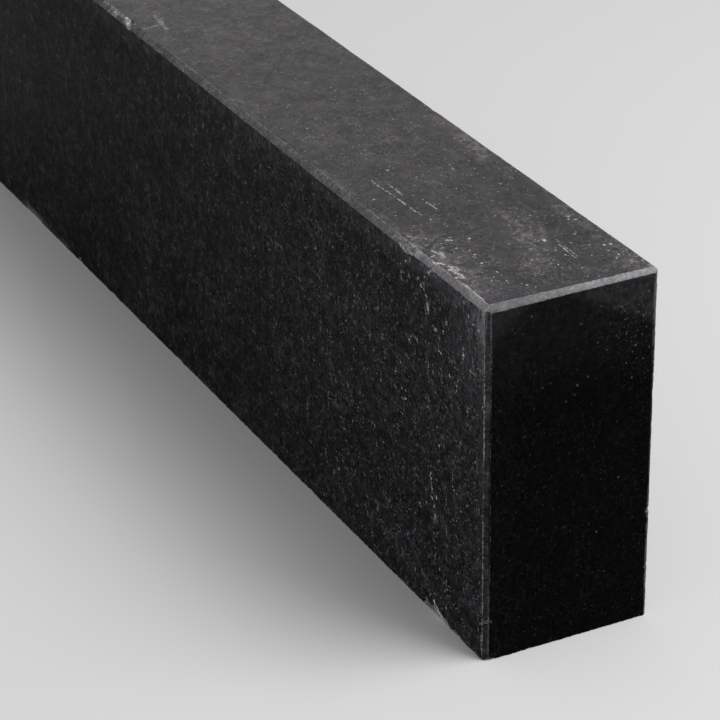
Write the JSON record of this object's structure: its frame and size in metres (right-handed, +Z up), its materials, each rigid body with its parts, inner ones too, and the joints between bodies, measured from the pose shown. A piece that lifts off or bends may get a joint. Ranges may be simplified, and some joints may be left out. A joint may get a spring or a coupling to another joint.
{
  "type": "granite kerb stone",
  "caption": "Straight sawn kerb stone of dark fine-grained granite, laid on edge to border paving, with ground top and end arrises and small edge spalls.",
  "frame": {"origin": "middle of the bed, the face that the stone stands on", "axes": "+X along the stone to its near end, +Y across its width to the back, +Z up to the top face"},
  "size_m": [0.7, 0.097, 0.2],
  "materials": {
    "granite": "fine-sawn and honed, near-black with fine pale flecks, ground matte grey on the arrises, a thin dusty film on the top"
  },
  "bodies": {
    "root": {"kerb_stone": "granite"}
  },
  "joints": []
}
